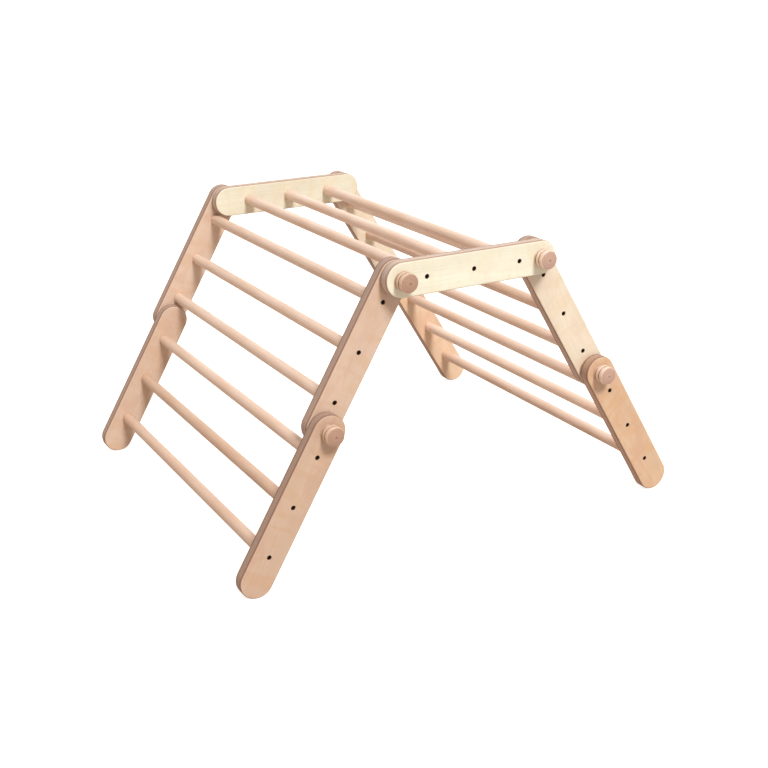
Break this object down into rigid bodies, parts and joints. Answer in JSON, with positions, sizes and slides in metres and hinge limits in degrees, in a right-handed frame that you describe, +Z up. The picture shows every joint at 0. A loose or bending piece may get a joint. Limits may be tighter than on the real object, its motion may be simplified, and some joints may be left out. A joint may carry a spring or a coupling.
{
  "type": "folding climbing arch",
  "caption": "Wooden climbing arch for small children: hinged ladder sections of plywood rails and round rungs, held at any angle by clamp knobs.",
  "frame": {"origin": "on the floor, under the middle of the arch's box", "axes": "+X along the arch from the left leg to the right leg, +Y along the rungs towards the far rails, +Z up"},
  "size_m": [0.9804, 0.9, 0.5814],
  "materials": {
    "rail_tan": "satin oiled birch plywood, layered edges",
    "rail_cream": "satin oiled birch plywood, layered edges",
    "rail_pale": "satin oiled birch plywood, layered edges",
    "rail_honey": "satin oiled birch plywood, layered edges",
    "rung_beech": "satin turned beech",
    "knob_beech": "satin turned beech, end grain",
    "screw_black": "black oxide",
    "insert_zinc": "plated",
    "washer_steel": "zinc plated",
    "spacer_nylon": "matte"
  },
  "bodies": {
    "foot_left": {"foot_left_rail_near": "rail_tan", "foot_left_rail_far": "rail_tan", "foot_left_rung_1": "rung_beech", "foot_left_rung_2": "rung_beech", "foot_left_rung_3": "rung_beech", "foot_left_screws": "screw_black", "foot_left_inserts": "insert_zinc", "foot_left_knob_washers": "washer_steel", "spacers_1": "spacer_nylon"},
    "upper_left": {"upper_left_rail_near": "rail_tan", "upper_left_rail_far": "rail_tan", "upper_left_rung_1": "rung_beech", "upper_left_rung_2": "rung_beech", "upper_left_rung_3": "rung_beech", "upper_left_screws": "screw_black", "upper_left_inserts": "insert_zinc", "upper_left_knob_washers": "washer_steel", "spacers_2": "spacer_nylon"},
    "top": {"top_rail_near": "rail_cream", "top_rail_far": "rail_cream", "top_rung_1": "rung_beech", "top_rung_2": "rung_beech", "top_rung_3": "rung_beech", "top_screws": "screw_black", "top_inserts": "insert_zinc", "top_knob_washers": "washer_steel"},
    "upper_right": {"upper_right_rail_near": "rail_pale", "upper_right_rail_far": "rail_pale", "upper_right_rung_1": "rung_beech", "upper_right_rung_2": "rung_beech", "upper_right_rung_3": "rung_beech", "upper_right_screws": "screw_black", "upper_right_inserts": "insert_zinc", "upper_right_knob_washers": "washer_steel", "spacers_3": "spacer_nylon"},
    "foot_right": {"foot_right_rail_near": "rail_honey", "foot_right_rail_far": "rail_honey", "foot_right_rung_1": "rung_beech", "foot_right_rung_2": "rung_beech", "foot_right_rung_3": "rung_beech", "foot_right_screws": "screw_black", "foot_right_inserts": "insert_zinc", "foot_right_knob_washers": "washer_steel", "spacers_4": "spacer_nylon"},
    "knob_1_near": {"knob_1_near": "knob_beech", "knob_1_near_stud": "washer_steel"},
    "knob_1_far": {"knob_1_far": "knob_beech", "knob_1_far_stud": "washer_steel"},
    "knob_2_near": {"knob_2_near": "knob_beech", "knob_2_near_stud": "washer_steel"},
    "knob_2_far": {"knob_2_far": "knob_beech", "knob_2_far_stud": "washer_steel"},
    "knob_3_near": {"knob_3_near": "knob_beech", "knob_3_near_stud": "washer_steel"},
    "knob_3_far": {"knob_3_far": "knob_beech", "knob_3_far_stud": "washer_steel"},
    "knob_4_near": {"knob_4_near": "knob_beech", "knob_4_near_stud": "washer_steel"},
    "knob_4_far": {"knob_4_far": "knob_beech", "knob_4_far_stud": "washer_steel"}
  },
  "joints": [
    {"name": "upper_left_fold", "type": "hinge", "parent": "top", "child": "upper_left", "pos_m": [-0.15, 0, 0.54838], "axis": [0, 1, 0], "range_deg": [-56.8, 175.2]},
    {"name": "foot_left_fold", "type": "hinge", "parent": "upper_left", "child": "foot_left", "pos_m": [-0.30361, 0, 0.29069], "axis": [0, -1, 0], "range_deg": [-116, 116]},
    {"name": "upper_right_fold", "type": "hinge", "parent": "top", "child": "upper_right", "pos_m": [0.15, 0, 0.54838], "axis": [0, 1, 0], "range_deg": [-175.2, 56.8]},
    {"name": "foot_right_fold", "type": "hinge", "parent": "upper_right", "child": "foot_right", "pos_m": [0.30361, 0, 0.29069], "axis": [0, -1, 0], "range_deg": [-116, 116]},
    {"name": "knob_1_near_turn", "type": "hinge", "parent": "upper_left", "child": "knob_1_near", "pos_m": [-0.30361, -0.4225, 0.29069], "axis": [0, -1, 0], "continuous": true},
    {"name": "knob_1_far_turn", "type": "hinge", "parent": "foot_left", "child": "knob_1_far", "pos_m": [-0.30361, 0.4225, 0.29069], "axis": [0, 1, 0], "continuous": true},
    {"name": "knob_2_near_turn", "type": "hinge", "parent": "upper_left", "child": "knob_2_near", "pos_m": [-0.15, -0.4225, 0.54838], "axis": [0, -1, 0], "continuous": true},
    {"name": "knob_2_far_turn", "type": "hinge", "parent": "top", "child": "knob_2_far", "pos_m": [-0.15, 0.4225, 0.54838], "axis": [0, 1, 0], "continuous": true},
    {"name": "knob_3_near_turn", "type": "hinge", "parent": "upper_right", "child": "knob_3_near", "pos_m": [0.15, -0.4225, 0.54838], "axis": [0, -1, 0], "continuous": true},
    {"name": "knob_3_far_turn", "type": "hinge", "parent": "top", "child": "knob_3_far", "pos_m": [0.15, 0.4225, 0.54838], "axis": [0, 1, 0], "continuous": true},
    {"name": "knob_4_near_turn", "type": "hinge", "parent": "upper_right", "child": "knob_4_near", "pos_m": [0.30361, -0.4225, 0.29069], "axis": [0, -1, 0], "continuous": true},
    {"name": "knob_4_far_turn", "type": "hinge", "parent": "foot_right", "child": "knob_4_far", "pos_m": [0.30361, 0.4225, 0.29069], "axis": [0, 1, 0], "continuous": true}
  ]
}
